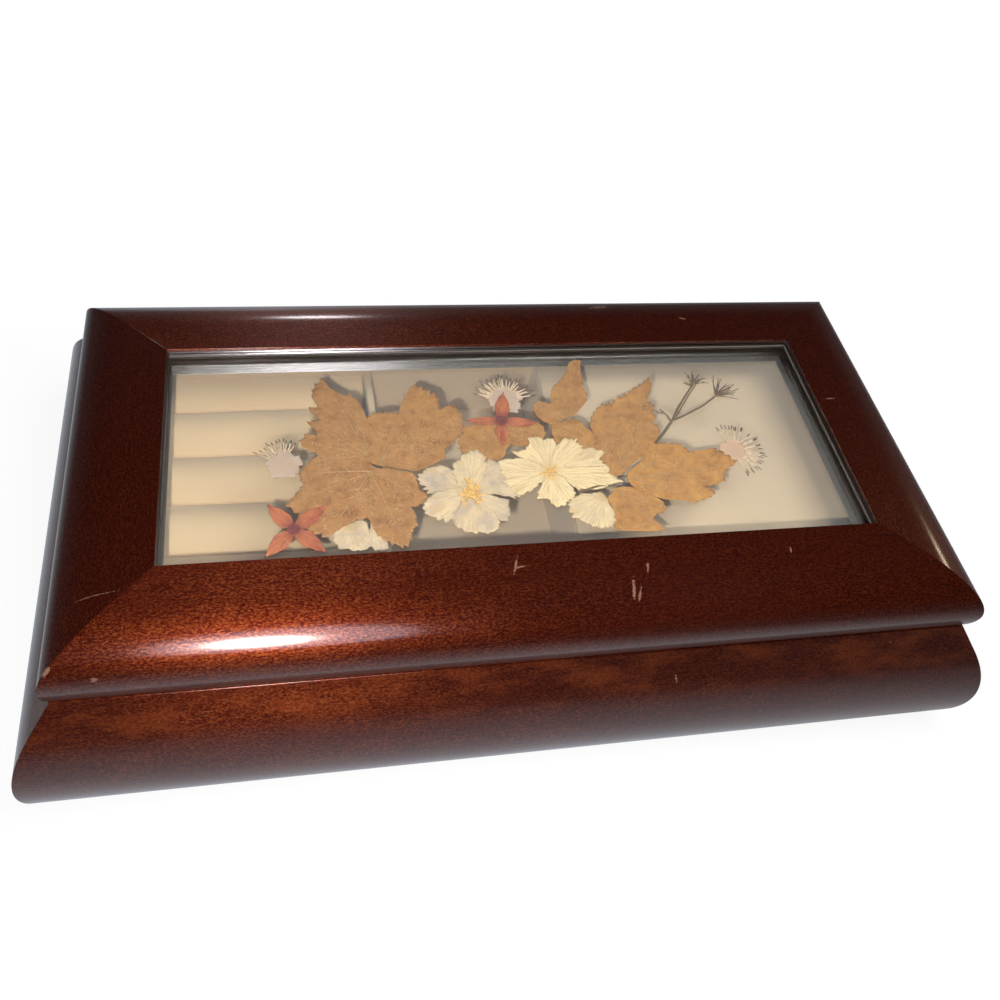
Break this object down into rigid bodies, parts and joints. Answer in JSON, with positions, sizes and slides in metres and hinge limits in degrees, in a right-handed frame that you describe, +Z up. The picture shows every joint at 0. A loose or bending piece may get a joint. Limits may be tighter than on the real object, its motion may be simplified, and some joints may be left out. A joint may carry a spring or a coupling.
{
  "type": "musical jewelry box",
  "caption": "Low flared wooden box with a hinged framed glass lid over pressed flowers, a cream lined inside, a ring pad and a wind-up musical movement.",
  "frame": {"origin": "on the table under the middle of the box", "axes": "+X along the box to the right, front faces -Y, +Z up"},
  "size_m": [0.2612, 0.1428, 0.0597],
  "materials": {
    "mahogany": "gloss",
    "dark_stain": "gloss",
    "spacer_card": "matte",
    "glass": "polished",
    "plywood": "satin",
    "felt": "matte",
    "cream_suede": "matte",
    "ring_pad_suede": "matte",
    "brass": "polished",
    "steel": "satin",
    "dried_leaf": "matte",
    "coral_petal": "matte",
    "cream_petal": "matte",
    "pale_petal": "matte",
    "dried_stem": "matte"
  },
  "bodies": {
    "base": {"base_front_rail": "mahogany", "base_back_rail": "mahogany", "base_left_rail": "mahogany", "base_right_rail": "mahogany", "base_floor": "plywood", "cover_cleats": "plywood", "felt_feet": "felt", "lining_front": "cream_suede", "lining_back": "cream_suede", "lining_left": "cream_suede", "lining_right": "cream_suede", "lining_floor": "cream_suede", "divider_left": "cream_suede", "divider_right": "cream_suede", "movement_cover": "cream_suede", "ring_pad": "ring_pad_suede", "hinge_base_leaf_left": "brass", "hinge_base_leaf_right": "brass", "hinge_pins": "brass", "hinge_base_screws": "brass", "governor_frame": "brass", "floor_screws": "steel", "movement_screws": "steel", "movement_bedplate": "steel", "spring_housing": "steel", "mainspring": "steel", "cylinder_brackets": "steel", "music_comb": "steel", "comb_screws": "steel", "stop_bracket": "steel", "stop_spring": "steel"},
    "lid": {"lid_front_rail": "mahogany", "lid_back_rail": "mahogany", "lid_left_rail": "mahogany", "lid_right_rail": "mahogany", "window_glass": "glass", "backing_glass": "glass", "pane_spacer": "spacer_card", "glass_stop_front": "dark_stain", "glass_stop_back": "dark_stain", "glass_stop_left": "dark_stain", "glass_stop_right": "dark_stain", "pressed_leaves": "dried_leaf", "pressed_coral_flowers": "coral_petal", "pressed_cream_flowers": "cream_petal", "pressed_fringed_flowers": "pale_petal", "pressed_seed_stem": "dried_stem", "hinge_lid_leaf_left": "brass", "hinge_lid_leaf_right": "brass", "hinge_lid_screws": "brass"},
    "winder": {"winding_key": "brass", "winding_arbor": "steel"},
    "great_wheel": {"great_wheel": "brass"},
    "cylinder": {"cylinder_drum": "brass", "cylinder_arbor": "steel"},
    "governor": {"governor_wheel": "steel"},
    "fly": {"governor_fly": "steel"},
    "plunger": {"stop_plunger": "steel"},
    "lever": {"stop_lever": "steel"}
  },
  "joints": [
    {"name": "lid_hinge", "type": "hinge", "parent": "base", "child": "lid", "pos_m": [0, 0.0616, 0.04215], "axis": [-1, 0, 0], "range_deg": [0, 100]},
    {"name": "winding_key_turn", "type": "hinge", "parent": "base", "child": "winder", "pos_m": [0.044, -0.006, 0.02], "axis": [0, 0, 1], "continuous": true},
    {"name": "great_wheel_turn", "type": "hinge", "parent": "base", "child": "great_wheel", "pos_m": [0.044, -0.006, 0.023], "axis": [0, 0, 1], "continuous": true},
    {"name": "cylinder_turn", "type": "hinge", "parent": "base", "child": "cylinder", "pos_m": [0.065, -0.006, 0.0286], "axis": [1, 0, 0], "continuous": true},
    {"name": "governor_turn", "type": "hinge", "parent": "base", "child": "governor", "pos_m": [0.0819, 0.00205, 0.0286], "axis": [1, 0, 0], "continuous": true},
    {"name": "fly_turn", "type": "hinge", "parent": "base", "child": "fly", "pos_m": [0.0819, 0.0075, 0.025], "axis": [0, 0, 1], "continuous": true},
    {"name": "stop_plunger_slide", "type": "slide", "parent": "base", "child": "plunger", "axis": [0, 0, 1], "range_m": [0, 0.003], "deforming": ["stop_spring"]},
    {"name": "stop_lever_pivot", "type": "hinge", "parent": "base", "child": "lever", "pos_m": [0.092, 0.0075, 0.0254], "axis": [0, -1, 0], "range_deg": [0, 14]}
  ],
  "couplings": [
    {"joint": "great_wheel_turn", "follows": "cylinder_turn", "ratio": 0.5},
    {"joint": "governor_turn", "follows": "cylinder_turn", "ratio": -3},
    {"joint": "fly_turn", "follows": "cylinder_turn", "ratio": 48},
    {"joint": "stop_plunger_slide", "follows": "lid_hinge", "m_per_rad": 0.001718},
    {"joint": "stop_lever_pivot", "follows": "lid_hinge", "ratio": 0.1399}
  ]
}
